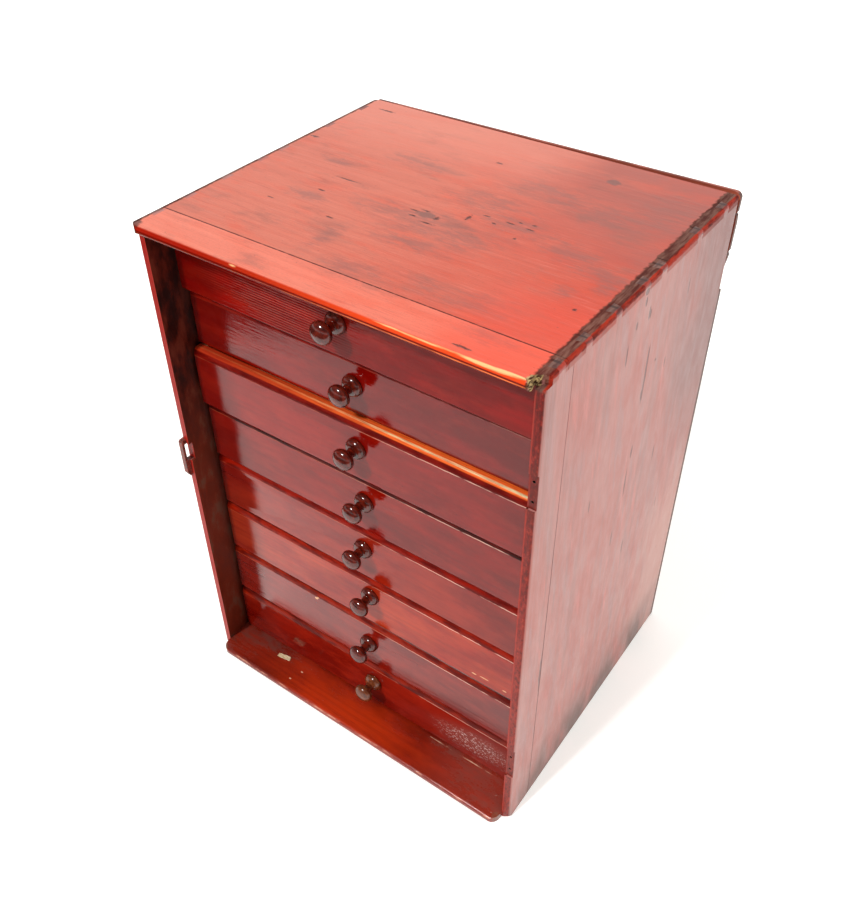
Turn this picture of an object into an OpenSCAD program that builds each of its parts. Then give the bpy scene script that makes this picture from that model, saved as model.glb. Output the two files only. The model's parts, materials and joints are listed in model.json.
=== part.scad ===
// Collector's specimen chest: a small varnished pine case with eight shallow
// drawers on side runners. Millimetres, +Z up, the front faces -Y, and the
// origin is on the floor under the middle of the whole chest.

/* [Case] */
// Width of the case over its two sides
case_w = 360; // [300:1:460]
// Depth of each side from its front edge to its back edge
side_depth = 296.5; // [250:1:380]
// Thickness of the two sides
side_t = 7.5; // [6.5:0.5:12]
// Thickness of the top
top_t = 7.5; // [6:0.5:12]
// Thickness of the base
base_t = 7.5; // [6:0.5:12]
// Thickness of the back boards
back_t = 4.5; // [3:0.5:8]
// How far the top stands in front of the sides
top_lip = 7.5; // [6:0.5:12]
// How far the base stands in front of the sides
base_lip = 13; // [10:0.5:22]
// Distance of the seam in the top behind the front edges of the sides
top_seam_y = 27; // [27:1:38]
// Distance of the seam in each side behind its front edge
side_seam_y = 34; // [27:1:40]
// Number of boards in the back below the uppermost one
back_boards_n = 3; // [2:1:5]

/* [Case joints] */
// Width of a dovetail pin of the sides at the inner face
pin_w = 12; // [9:0.5:14]
// How much a dovetail pin narrows on each flank
pin_taper = 2; // [1:0.25:3]
// Wood left between the foremost pin and the seam in the top
pin_margin = 1.5; // [1:0.5:3]
// Open seam between two edge-jointed boards
seam = 0.4; // [0.1:0.1:0.8]
// Clearance in the glued joints
joint_gap = 0.1; // [0.05:0.05:0.2]

/* [Rounded edges] */
// Radius of the upper front arris of the top
top_nose_r = 3; // [2:0.5:3.5]
// Radius of the upper front arris of the base
base_nose_r = 3; // [2:0.5:3.5]
// Radius of the lower front arris of the top and the base
under_nose_r = 3; // [1:0.5:3.5]
// Radius of the front corners of the base, seen from above
base_corner_r = 10; // [4:1:12]
// Radius of the left front corner of the top, seen from above
top_corner_r = 11; // [3:1:14]
// Rounding of the top's back left corner, seen from above
top_back_corner_r = 8; // [2:1:10]
// Radius of the worn long arris between the top and each side
end_round_r = 2.5; // [1:0.5:4]
// Radius of the outer front arris of each side
side_round_r = 2.5; // [1:0.5:3]
// Radius of the upper arris of the back boards
back_round_r = 2.5; // [1:0.5:2.5]
// Depth of the rounded upper arris of a drawer front
front_top_r = 4.5; // [1:0.5:5]
// Height of the rounded upper arris of a drawer front
front_top_h = 7.5; // [2:0.5:10]
// Radius of the lower arris of a drawer front
front_low_r = 1.5; // [0.5:0.5:2.5]

/* [Sprung back board] */
// Height of the uppermost back board, whose right end has sprung
sprung_h = 86; // [60:1:120]
// Wear of its upper corners
sprung_corner_r = 7; // [2:1:9]
// How far the right end of that board stands off the case
sprung_out = 6; // [0.5:0.5:8]
// Size of the chips in the right end of that board
sprung_chip = 2; // [0.5:0.5:3]

/* [Broken corner] */
// How far back the break in the right front corner runs
break_l = 8; // [4:0.5:12]
// Depth of the splinters along the break
break_jag = 1.5; // [0.5:0.5:2]
// Depth of the chip off the right side's foot
foot_chip = 3.5; // [1:0.5:4]

/* [Drawer fronts] */
// Height of the first front, at the top
front_1_h = 62; // [45:1:80]
// Height of the second front
front_2_h = 55; // [45:1:80]
// Height of the third front
front_3_h = 59; // [45:1:80]
// Height of the fourth front
front_4_h = 62; // [45:1:80]
// Height of the fifth front
front_5_h = 60; // [45:1:80]
// Height of the sixth front
front_6_h = 59; // [45:1:80]
// Height of the seventh front
front_7_h = 61; // [45:1:80]
// Height of the eighth front, at the bottom
front_8_h = 59; // [45:1:80]
// Gap above and below each front
front_gap = 1; // [0.6:0.1:2]
// Sideways play of a drawer, on each side
drawer_play = 1.3; // [1.1:0.1:2]
// Thickness of a drawer front
front_t = 9; // [8:0.5:14]
// Distance from the case's front edge to a front that is fully shut
shut_y = 32; // [32:1:40]

/* [Drawer boxes] */
// Thickness of the sides of a drawer
drawer_side_t = 6; // [5.5:0.5:9]
// Thickness of the back of a drawer
drawer_back_t = 6; // [4:0.5:9]
// Thickness of the bottom of a drawer
drawer_bottom_t = 3.5; // [2:0.5:5]
// Depth of the groove that holds the bottom
groove_d = 3; // [2:0.25:4]
// Wood left under the groove
groove_up = 2; // [1.5:0.5:4]
// Wood of the front left over the ends of the dovetails
lap_t = 3; // [2:0.5:5]
// Width of a pin between two drawer dovetails
drawer_pin_w = 6; // [4:0.5:9]
// How much a drawer dovetail widens on each flank
drawer_tail_flare = 1.2; // [0.5:0.1:1.5]
// Drop of a drawer's sides below the top of its front
side_drop = 1.5; // [1:0.5:4]
// Space behind a drawer that is fully shut
back_play = 3; // [2.5:0.5:6]

/* [Runners] */
// Width of a runner
runner_w = 8; // [7:0.5:12]
// Height of a runner
runner_h = 5; // [4:0.5:8]
// Height of a runner above the lower edge of its drawer front
runner_lift = 0.5; // [0.5:0.5:2]
// Space between a runner and the front of a shut drawer
runner_gap = 3; // [2.5:0.5:6]
// Clearance of a drawer above its runners
slide_gap = 0.2; // [0.1:0.05:0.4]

/* [Knobs] */
// Diameter of the head of a knob
knob_d = 19.5; // [14:0.5:24]
// Diameter of the foot of a knob
knob_foot_d = 19; // [14:0.5:24]
// Diameter of the neck of a knob
knob_neck_d = 8; // [5:0.5:10]
// Length of a knob in front of the drawer
knob_len = 23; // [20:0.5:30]
// Height of the rounded foot of a knob
knob_foot_h = 6; // [4:0.5:8]
// Distance from the widest part of the head to its tip
knob_crown_h = 6; // [4:0.5:8]
// Depth of the head behind its widest part
knob_under_h = 4.5; // [3:0.5:6]
// Diameter of the pin that holds a knob
knob_pin_d = 7; // [5:0.5:9]
// Depth of the hole for that pin
knob_pin_l = 6; // [4:0.5:7]

/* [Keeper] */
// Height of the middle of the door keeper
keeper_z = 265; // [120:1:300]
// Length of the keeper
keeper_h = 42; // [36:1:60]
// Width of the keeper across the edge of the side
keeper_w = 4.5; // [3:0.5:5.5]
// How far the keeper stands in front of the side
keeper_out = 5; // [4:0.5:8]
// Thickness of the keeper's strap
keeper_t = 2.6; // [1.5:0.1:3]
// Height of the slot behind the strap
slot_h = 19; // [12:1:22]
// Depth of the notch in the side behind the strap
notch_d = 4; // [3:0.5:6]
// Size of the worn corners of the keeper's strap
keeper_worn = 1.5; // [0.5:0.5:2]
// Height of each leg of the keeper
leg_h = 5; // [3:0.5:6]
// Length of each leg inside the side
leg_l = 7; // [6.5:0.5:12]

/* [Hinge seats] */
// Height of the lower end of the upper hinge seat
upper_seat_z = 393; // [300:1:420]
// Length of the upper hinge seat
upper_seat_h = 31; // [26:1:44]
// Height of the lower end of the lower hinge seat
lower_seat_z = 69; // [40:1:110]
// Length of the lower hinge seat
lower_seat_h = 40; // [26:1:44]
// Depth of a hinge seat
seat_d = 1.5; // [0.5:0.5:3]
// Distance between the two screw holes of a seat
seat_screw_pitch = 18; // [12:1:20]
// Diameter of a hinge screw hole
seat_screw_d = 2.4; // [1.5:0.1:3]
// Depth of a hinge screw hole
seat_screw_l = 9; // [5:1:14]

/* [Nails] */
// Diameter of a nail head
nail_head_d = 3.4; // [2.5:0.1:5]
// Thickness of a nail head
nail_head_t = 0.6; // [0.4:0.1:1]
// Diameter of a nail's shank
nail_d = 1.6; // [1.2:0.1:2]
// Length of a nail
nail_l = 20; // [14:1:26]
// Number of nails from each side into the base
base_nails_n = 4; // [3:1:6]

/* [Hidden] */
drawers_n = 8;
front_h = [front_1_h, front_2_h, front_3_h, front_4_h, front_5_h, front_6_h, front_7_h, front_8_h];
// Each drawer stands a little open by its own amount
pulled = [7.5, 0, 7.5, 3, 2.5, 3, 4, 4.5];
// Each drawer stands slightly askew, by a share of what its play allows
askew = [-0.85, 0, 0.5, 0.3, 0.15, 0.7, 0.35, 0.85];
// Each knob was set by eye: its shift sideways and upwards from the middle
knob_shift = [[-4, -1], [0, 0], [5, 3], [6, 3], [1, 6], [5, 8], [1, -1], [3, 2]];
// Places of the dovetail pins behind the seam, set out by eye as shares of that board's width
pin_share = [0.098, 0.25, 0.407, 0.506, 0.732, 0.912];
drawer_tails_n = 2;
arc_steps = 9;
eps = 0.01;
cut = 1;

function sum_to(v, n) = n <= 0 ? 0 : v[n - 1] + sum_to(v, n - 1);

// Overall sizes
clear_h = sum_to(front_h, drawers_n) + (drawers_n + 1) * front_gap;
case_h = base_t + clear_h + top_t;
clear_w = case_w - 2 * side_t;
front_y = -(side_depth + back_t + sprung_out - base_lip) / 2;
rear_y = front_y + side_depth;
seam_y = front_y + top_seam_y;
pin_y = concat(
    [seam_y - seam / 2 - pin_margin - pin_w / 2],
    [for (share = pin_share) seam_y + share * (rear_y - seam_y)]
);

// Drawer sizes
front_w = clear_w - 2 * drawer_play;
drawer_l = side_depth - shut_y - back_play;
tail_l = front_t - lap_t;
groove_h = drawer_bottom_t + 2 * joint_gap;

function skew(i) = askew[i] * atan(2 * drawer_play / drawer_l);
function front_z(i) = base_t + clear_h - front_gap - sum_to(front_h, i + 1) - i * front_gap;
function face_y(i) = front_y + shut_y - pulled[i];
function box_low(i) = front_z(i) + runner_lift + runner_h + slide_gap;
function box_high(i) = front_z(i) + front_h[i] - side_drop;
function bottom_low(i) = box_low(i) + groove_up;
function arc(cx, cy, rx, ry, a0, a1) = [
    for (k = [0:arc_steps]) let (a = a0 + (a1 - a0) * k / arc_steps) [cx + rx * cos(a), cy + ry * sin(a)]
];

case_nodes = ["left_side_panel", "left_side_strip", "right_side_panel", "right_side_strip",
    "top_panel", "top_strip", "base_board", "back_boards", "left_runners", "right_runners",
    "door_keeper", "case_nails"];
drawer_parts = ["front", "left_side", "right_side", "back", "bottom", "knob"];

varnish = [0.62, 0.17, 0.11];
gloss_red = [0.50, 0.12, 0.09];
bare_pine = [0.72, 0.52, 0.32];
dark_knob = [0.23, 0.07, 0.04];
iron = [0.45, 0.16, 0.12];

// Helpers

// Extrudes a shape drawn in (y, z) from x0 to x1
module along_x(x0, x1) {
    translate([x0, 0, 0]) rotate([90, 0, 90]) linear_extrude(x1 - x0) children();
}

// Extrudes a shape drawn in (x, z) from y0 to y1
module along_y(y0, y1) {
    translate([0, y1, 0]) rotate([90, 0, 0]) linear_extrude(y1 - y0) children();
}

module block(low, high) {
    translate(low) cube(high - low);
}

// Board profile in (y, z) with its two front arrises rounded, the upper one r_top deep and h_top high
module nosed_profile(y0, y1, z0, z1, r_top, h_top, r_low) {
    polygon(concat(
        arc(y0 + r_low, z0 + r_low, r_low, r_low, 180, 270),
        [[y1, z0], [y1, z1]],
        arc(y0 + r_top, z1 - h_top, r_top, h_top, 90, 180)
    ));
}

// What a worn arris between the top and a side has lost, for the side at +X
module worn_arris() {
    along_y(front_y - top_lip - cut, rear_y + cut) polygon(concat(
        arc(case_w / 2 - end_round_r, case_h - end_round_r, end_round_r, end_round_r, 90, 0),
        [[case_w / 2 + cut, case_h - end_round_r], [case_w / 2 + cut, case_h + cut],
            [case_w / 2 - end_round_r, case_h + cut]]
    ));
}

// Dovetail pins of the side at +X, seen from above
module pins(grow) {
    for (y = pin_y)
        translate([0, y]) polygon([
            [case_w / 2 - side_t, -pin_w / 2 - grow], [case_w / 2 + cut, -pin_w / 2 + pin_taper - grow],
            [case_w / 2 + cut, pin_w / 2 - pin_taper + grow], [case_w / 2 - side_t, pin_w / 2 + grow]
        ]);
}

// Front corner of the top and the right side that was broken off
module broken_corner(depth) {
    right = case_w / 2;
    inner = right - side_t;
    out = -top_lip - cut;
    translate([0, front_y, case_h - depth]) linear_extrude(depth + cut) polygon([
        [inner - break_jag, out], [inner, out / 2], [inner - break_jag, break_l / 8],
        [inner + break_jag, break_l / 3], [inner + 2 * break_jag, break_l * 3 / 4],
        [right + cut, break_l], [right + cut, out]
    ]);
}

// Case

// One side with its pins, before it is split at the seam: the side at +X
module side_blank() {
    inner = case_w / 2 - side_t;
    outer = case_w / 2;
    r = side_round_r;
    difference() {
        union() {
            linear_extrude(case_h - top_t) polygon(concat(
                arc(outer - r, front_y + r, r, r, 270, 360),
                [[outer, rear_y], [inner, rear_y], [inner, front_y]]
            ));
            intersection() {
                translate([0, 0, case_h - top_t - eps]) linear_extrude(top_t + eps) pins(0);
                block([inner, front_y, 0], [case_w / 2, rear_y, case_h]);
            }
        }
        worn_arris();
        side_nail_holes();
    }
}

module side_strip_zone() {
    block([-case_w, front_y - cut, -cut], [case_w, front_y + side_seam_y - seam / 2, case_h + cut]);
}

module side_panel_zone() {
    block([-case_w, front_y + side_seam_y + seam / 2, -cut], [case_w, rear_y + cut, case_h + cut]);
}

module left_side_panel() {
    color(varnish) mirror([1, 0, 0]) intersection() {
        side_blank();
        side_panel_zone();
    }
}

module left_side_strip() {
    color(varnish) difference() {
        mirror([1, 0, 0]) intersection() {
            side_blank();
            side_strip_zone();
        }
        keeper_recess();
    }
}

module right_side_panel() {
    color(varnish) intersection() {
        side_blank();
        side_panel_zone();
    }
}

module right_side_strip() {
    color(varnish) difference() {
        intersection() {
            side_blank();
            side_strip_zone();
        }
        hinge_seat(upper_seat_z, upper_seat_h);
        hinge_seat(lower_seat_z, lower_seat_h);
        broken_corner(top_t);
        worn_foot();
    }
}

// Slanting chip off the outer front corner of the right side's foot
module worn_foot() {
    far = 6 * foot_chip;
    translate([case_w / 2, front_y, 0]) rotate([0, 0, -45]) rotate([0, 35, 0])
        block([-foot_chip, -far, -far], [far, far, far]);
}

// Shallow recess with two screw holes in the front edge of the right side
module hinge_seat(z0, h) {
    block([case_w / 2 - side_t - cut, front_y - cut, z0], [case_w / 2 + cut, front_y + seat_d, z0 + h]);
    for (s = [-1, 1])
        translate([case_w / 2 - side_t / 2, front_y + seat_d - eps, z0 + h / 2 + s * seat_screw_pitch / 2])
            rotate([-90, 0, 0]) cylinder(d = seat_screw_d, h = seat_screw_l + eps, $fn = 24);
}

// The whole top with its dovetail sockets, before it is split at the seam
module top_blank() {
    left = -case_w / 2;
    r = top_corner_r;
    rb = top_back_corner_r;
    difference() {
        intersection() {
            along_x(left, case_w / 2)
                nosed_profile(front_y - top_lip, rear_y, case_h - top_t, case_h,
                    top_nose_r, top_nose_r, under_nose_r);
            linear_extrude(case_h + cut) polygon(concat(
                arc(left + r, front_y - top_lip + r, r, r, 180, 270),
                [[case_w / 2, front_y - top_lip], [case_w / 2, rear_y]],
                arc(left + rb, rear_y - rb, rb, rb, 90, 180)
            ));
        }
        for (m = [0, 1]) mirror([m, 0, 0]) {
            translate([0, 0, case_h - top_t - cut]) linear_extrude(top_t + 2 * cut) pins(joint_gap);
            worn_arris();
        }
        broken_corner(top_t + cut);
        back_nail_holes();
    }
}

module top_panel() {
    color(varnish) intersection() {
        top_blank();
        block([-case_w, seam_y + seam / 2, 0], [case_w, rear_y + cut, case_h + cut]);
    }
}

module top_strip() {
    color(varnish) intersection() {
        top_blank();
        block([-case_w, front_y - case_w, 0], [case_w, seam_y - seam / 2, case_h + cut]);
    }
}

module base_board() {
    inner = clear_w / 2;
    nose_y = front_y - base_lip;
    color(varnish) difference() {
        intersection() {
            along_x(-inner, inner)
                nosed_profile(nose_y, rear_y, 0, base_t, base_nose_r, base_nose_r, under_nose_r);
            translate([0, 0, -cut]) linear_extrude(base_t + 2 * cut) polygon(concat(
                arc(-inner + base_corner_r, nose_y + base_corner_r, base_corner_r, base_corner_r, 180, 270),
                arc(inner - base_corner_r, nose_y + base_corner_r, base_corner_r, base_corner_r, 270, 360),
                [[inner, rear_y], [-inner, rear_y]]
            ));
        }
        for (m = [0, 1]) mirror([m, 0, 0]) side_nail_holes();
        back_nail_holes();
    }
}

// Horizontal boards nailed over the back edges
module back_boards() {
    board_h = (case_h - sprung_h - back_boards_n * seam) / back_boards_n;
    color(varnish) difference() {
        union() {
            for (k = [0:back_boards_n - 1])
                translate([0, 0, k * (board_h + seam)])
                    block([-case_w / 2, rear_y, 0], [case_w / 2, rear_y + back_t, board_h]);
            sprung_board();
        }
        back_nail_holes();
    }
}

// Uppermost back board, turned outwards about its left end, with a rounded top, worn upper corners and a
// chipped right end
module sprung_board() {
    r = back_round_r;
    h = sprung_h;
    c = sprung_chip;
    w = sprung_corner_r;
    translate([-case_w / 2, rear_y, case_h - h]) rotate([0, 0, asin(sprung_out / case_w)]) difference() {
        block([back_t * sprung_out / case_w, 0, 0], [case_w, back_t, h]);
        along_x(-cut, case_w + cut) polygon(concat(
            arc(back_t - r, h - r, r, r, 90, 0),
            [[back_t + cut, h - r], [back_t + cut, h + cut], [back_t - r, h + cut]]
        ));
        along_y(-cut, back_t + cut) polygon(concat(
            arc(case_w - w, h - w, w, w, 90, 0),
            [[case_w + cut, h - w], [case_w + cut, h + cut], [case_w - w, h + cut]]
        ));
        along_y(-cut, back_t + cut) polygon(concat(
            arc(w, h - w, w, w, 180, 90),
            [[w, h + cut], [-cut, h + cut], [-cut, h - w]]
        ));
        translate([case_w, 0, 0]) along_y(-cut, back_t + cut) polygon([
            [-3 * c, -cut], [cut, -cut], [cut, h + cut], [-c / 10, h + cut],
            [-c / 4, h * 0.8], [-c, h * 0.78], [-c / 4, h * 0.76], [-c / 10, h * 0.68],
            [-c / 3, h * 0.4], [-c, h * 0.37], [-c / 2, h * 0.34]
        ]);
    }
}

module runner_set() {
    inner = clear_w / 2;
    for (i = [0:drawers_n - 1])
        block([inner - runner_w, front_y + shut_y + front_t + runner_gap, front_z(i) + runner_lift],
            [inner, rear_y, front_z(i) + runner_lift + runner_h]);
}

module left_runners() {
    color(bare_pine) mirror([1, 0, 0]) runner_set();
}

module right_runners() {
    color(bare_pine) runner_set();
}

// Keeper

slot_low = keeper_z + keeper_h / 2 - leg_h - slot_h;
slot_high = slot_low + slot_h;

// Iron keeper, a strap with two legs driven into the front edge
module door_keeper() {
    low = keeper_z - keeper_h / 2;
    high = keeper_z + keeper_h / 2;
    out = -keeper_out;
    color(iron) along_x(-case_w / 2, -case_w / 2 + keeper_w) translate([front_y, 0]) polygon([
        [out, high - keeper_worn], [out + keeper_worn, high], [leg_l, high], [leg_l, slot_high],
        [out + keeper_t, slot_high], [out + keeper_t, slot_low], [leg_l, slot_low],
        [leg_l, slot_low - leg_h], [0, slot_low - leg_h],
        [0, low], [out / 2, low], [out, low + keeper_out]
    ]);
}

// Mortises for the keeper's legs, and the notch behind its strap
module keeper_recess() {
    left = -case_w / 2;
    for (z0 = [slot_high, slot_low - leg_h])
        block([left - cut, front_y - cut, z0 - joint_gap],
            [left + keeper_w + joint_gap, front_y + leg_l + joint_gap, z0 + leg_h + joint_gap]);
    block([left - cut, front_y - cut, slot_low], [left + side_t + cut, front_y + notch_d, slot_high]);
}

// Nails

// A nail driven along +Y, its head at the origin and sunk flush, or the hole for it if it is grown
module nail(grow) {
    mouth = grow > 0 ? cut : 0;
    rotate([-90, 0, 0]) {
        translate([0, 0, -mouth])
            cylinder(d = nail_head_d + 2 * grow, h = nail_head_t + grow + mouth, $fn = 24);
        cylinder(d = nail_d + 2 * grow, h = nail_l + grow, $fn = 24);
    }
}

// Nails from the side at +X into the end of the base
module side_nails(grow) {
    step = (side_depth - side_seam_y) / base_nails_n;
    for (k = [0:base_nails_n - 1])
        translate([case_w / 2, front_y + side_seam_y + (k + 0.5) * step, base_t / 2])
            rotate([0, 0, 90]) nail(grow);
}

module side_nail_holes() {
    side_nails(joint_gap / 2);
}

// Nails through the back boards into the base and the top; the sprung board has drawn the upper ones out
module back_nails(grow) {
    for (x = [-0.36, -0.12, 0.12, 0.36]) {
        translate([x * case_w, rear_y + back_t, base_t / 2]) rotate([0, 0, 180]) nail(grow);
        translate([x * case_w, rear_y + back_t + sprung_out * (x + 0.5), case_h - top_t / 2])
            rotate([0, 0, 180]) nail(grow);
    }
}

module back_nail_holes() {
    back_nails(joint_gap / 2);
}

module case_nails() {
    color(iron) {
        for (m = [0, 1]) mirror([m, 0, 0]) side_nails(0);
        back_nails(0);
    }
}

// Drawers

// Dovetails in (y, z), from the root at y0 to the end at y1, let into the board behind the root
module tails(y0, y1, z0, z1, grow) {
    pitch = (z1 - z0) / drawer_tails_n;
    half = (pitch - drawer_pin_w) / 2 + grow;
    wide = half + drawer_tail_flare;
    long = abs(y1 - y0);
    for (k = [0:drawer_tails_n - 1])
        translate([y0, z0 + (k + 0.5) * pitch]) rotate(y1 > y0 ? 0 : 180) polygon([
            [-cut, -half], [0, -half], [long, -wide], [long, wide], [0, half], [-cut, half]
        ]);
}

function back_low(i) = bottom_low(i) + groove_h;
function box_rear(i) = face_y(i) + drawer_l;

module drawer_front(i) {
    z0 = front_z(i);
    y0 = face_y(i);
    half = front_w / 2;
    hole_r = knob_pin_d / 2 + joint_gap;
    color(gloss_red) difference() {
        along_x(-half, half)
            nosed_profile(y0, y0 + front_t, z0, z0 + front_h[i], front_top_r, front_top_h, front_low_r);
        for (m = [0, 1]) mirror([m, 0, 0])
            along_x(half - drawer_side_t - joint_gap, half + cut)
                tails(y0 + front_t, y0 + lap_t - joint_gap, box_low(i), box_high(i), joint_gap);
        block([-half + drawer_side_t - groove_d, y0 + front_t - groove_d, bottom_low(i)],
            [half - drawer_side_t + groove_d, y0 + front_t + cut, bottom_low(i) + groove_h]);
        knob_place(i) rotate([-90, 0, 0])
            cylinder(r = hole_r, h = 2 * (knob_pin_l + joint_gap), center = true, $fn = 32);
    }
}

// A side of a drawer, at +X
module drawer_side(i) {
    half = front_w / 2;
    y0 = face_y(i) + front_t;
    y1 = box_rear(i) - drawer_back_t;
    color(bare_pine) difference() {
        along_x(half - drawer_side_t, half) {
            translate([y0, box_low(i)]) square([y1 - y0, box_high(i) - box_low(i)]);
            tails(y0, y0 - tail_l, box_low(i), box_high(i), 0);
            tails(y1, box_rear(i), back_low(i), box_high(i), 0);
            translate([y1 - eps, box_low(i)])
                square([drawer_back_t + eps, back_low(i) - joint_gap - box_low(i)]);
        }
        block([half - drawer_side_t - cut, y0 - tail_l - cut, bottom_low(i)],
            [half - drawer_side_t + groove_d, box_rear(i) + cut, bottom_low(i) + groove_h]);
    }
}

module drawer_back(i) {
    half = front_w / 2;
    y1 = box_rear(i) - drawer_back_t;
    color(bare_pine) difference() {
        block([-half, y1, back_low(i)], [half, box_rear(i), box_high(i)]);
        for (m = [0, 1]) mirror([m, 0, 0])
            along_x(half - drawer_side_t - joint_gap, half + cut)
                tails(y1, box_rear(i) + eps, back_low(i), box_high(i), joint_gap);
    }
}

module drawer_bottom(i) {
    half = front_w / 2 - drawer_side_t + groove_d - joint_gap;
    color(bare_pine)
        block([-half, face_y(i) + front_t - groove_d + joint_gap, bottom_low(i) + joint_gap],
            [half, box_rear(i), bottom_low(i) + joint_gap + drawer_bottom_t]);
}

// Moves its children to the face of a drawer front, where the knob stands
module knob_place(i) {
    translate([knob_shift[i][0], face_y(i), front_z(i) + front_h[i] / 2 + knob_shift[i][1]]) children();
}

// Turned knob: foot, neck and mushroom head, with a pin into the front
module drawer_knob(i) {
    neck = knob_neck_d / 2;
    head_a = knob_len - knob_crown_h;
    crown = arc(0, head_a, knob_d / 2, knob_crown_h, 0, 90);
    color(dark_knob) knob_place(i) rotate([90, 0, 0]) rotate_extrude($fn = 64) polygon(concat(
        [[0, -knob_pin_l], [knob_pin_d / 2, -knob_pin_l], [knob_pin_d / 2, 0], [knob_foot_d / 2 - 0.5, 0]],
        arc(neck, 1, knob_foot_d / 2 - neck, knob_foot_h - 1, 0, 90),
        arc(neck, head_a, knob_d / 2 - neck, knob_under_h, -90, 0),
        [for (p = crown) if (p[1] > head_a + eps) [max(p[0], 0), p[1]]]
    ));
}

module drawer_part(i, p) {
    middle = face_y(i) + drawer_l / 2;
    translate([0, middle, 0]) rotate([0, 0, skew(i)]) translate([0, -middle, 0]) {
        if (p == "front") drawer_front(i);
        if (p == "left_side") mirror([1, 0, 0]) drawer_side(i);
        if (p == "right_side") drawer_side(i);
        if (p == "back") drawer_back(i);
        if (p == "bottom") drawer_bottom(i);
        if (p == "knob") drawer_knob(i);
    }
}

left_side_panel();
left_side_strip();
right_side_panel();
right_side_strip();
top_panel();
top_strip();
base_board();
back_boards();
left_runners();
right_runners();
door_keeper();
case_nails();
for (i = [0:drawers_n - 1]) for (p = drawer_parts)
    drawer_part(i, p);
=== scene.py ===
"""The specimen chest: its varnish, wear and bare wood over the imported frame, and a plain studio."""
import json
import math

import bmesh
import bpy
from mathutils import Matrix, Vector

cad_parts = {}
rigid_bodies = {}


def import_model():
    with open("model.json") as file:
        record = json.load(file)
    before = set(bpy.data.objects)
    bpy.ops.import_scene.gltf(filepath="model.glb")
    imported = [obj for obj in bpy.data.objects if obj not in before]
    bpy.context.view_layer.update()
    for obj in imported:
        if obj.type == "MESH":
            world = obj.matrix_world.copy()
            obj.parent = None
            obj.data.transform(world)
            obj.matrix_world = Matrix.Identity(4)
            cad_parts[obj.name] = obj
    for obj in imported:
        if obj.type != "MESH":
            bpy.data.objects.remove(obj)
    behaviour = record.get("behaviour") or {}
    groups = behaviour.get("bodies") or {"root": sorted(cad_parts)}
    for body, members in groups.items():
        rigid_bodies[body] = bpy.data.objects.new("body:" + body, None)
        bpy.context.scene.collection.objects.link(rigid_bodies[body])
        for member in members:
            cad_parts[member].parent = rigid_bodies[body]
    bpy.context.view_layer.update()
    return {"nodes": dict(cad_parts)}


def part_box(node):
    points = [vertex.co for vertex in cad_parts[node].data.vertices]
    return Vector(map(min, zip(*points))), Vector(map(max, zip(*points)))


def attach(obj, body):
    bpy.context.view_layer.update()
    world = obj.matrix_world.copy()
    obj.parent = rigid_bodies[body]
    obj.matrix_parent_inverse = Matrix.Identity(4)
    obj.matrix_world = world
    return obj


for leftover in list(bpy.data.objects):
    bpy.data.objects.remove(leftover)
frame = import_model()
scene = bpy.context.scene

# Millimetres in a metre. All places are in millimetres of the frame, unless metres are named
MM = 1000


def box_mm(node):
    """A node's lowest and highest corners in millimetres."""
    low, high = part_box(node)
    return low * MM, high * MM


# The case's main places, read from the frame
strip_low, strip_high = box_mm("right_side_strip")
FRONT_Y = strip_low.y
INNER_X = strip_low.x
OUTER_X = strip_high.x
TOP_Z = strip_high.z
BASE_T = box_mm("base_board")[1].z
SIDE_SEAM_Y = (strip_high.y + box_mm("right_side_panel")[0].y) / 2
TOP_SEAM_Y = (box_mm("top_strip")[1].y + box_mm("top_panel")[0].y) / 2
DRAWERS = 8

# Camera at the photograph's viewing angle, in its pixels and in millimetres from the case's front
PICTURE_W = 863
PICTURE_H = 911
FOCAL_PX = 974.25
CENTRE_PX = (422.86, 438.41)
EYE_FROM_FRONT_EDGE = (393.8, -416.7, 844.6)
CAMERA_RIGHT = Vector((0.81171, 0.58396, -0.01046))
CAMERA_FORWARD = Vector((-0.45374, 0.61923, -0.64084))


def add_camera():
    data = bpy.data.cameras.new("camera")
    camera = bpy.data.objects.new("camera", data)
    scene.collection.objects.link(camera)
    back = -CAMERA_FORWARD.normalized()
    up = back.cross(CAMERA_RIGHT).normalized()
    right = up.cross(back)
    turn = Matrix((right, up, back)).transposed().to_4x4()
    turn.translation = (Vector(EYE_FROM_FRONT_EDGE) + Vector((0, FRONT_Y, 0))) / MM
    camera.matrix_world = turn
    long_side = max(PICTURE_W, PICTURE_H)
    data.sensor_width = 36
    data.lens = FOCAL_PX / long_side * data.sensor_width
    data.shift_x = (PICTURE_W / 2 - CENTRE_PX[0]) / long_side
    data.shift_y = (CENTRE_PX[1] - PICTURE_H / 2) / long_side
    data.clip_start = 0.01
    scene.camera = camera


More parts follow.
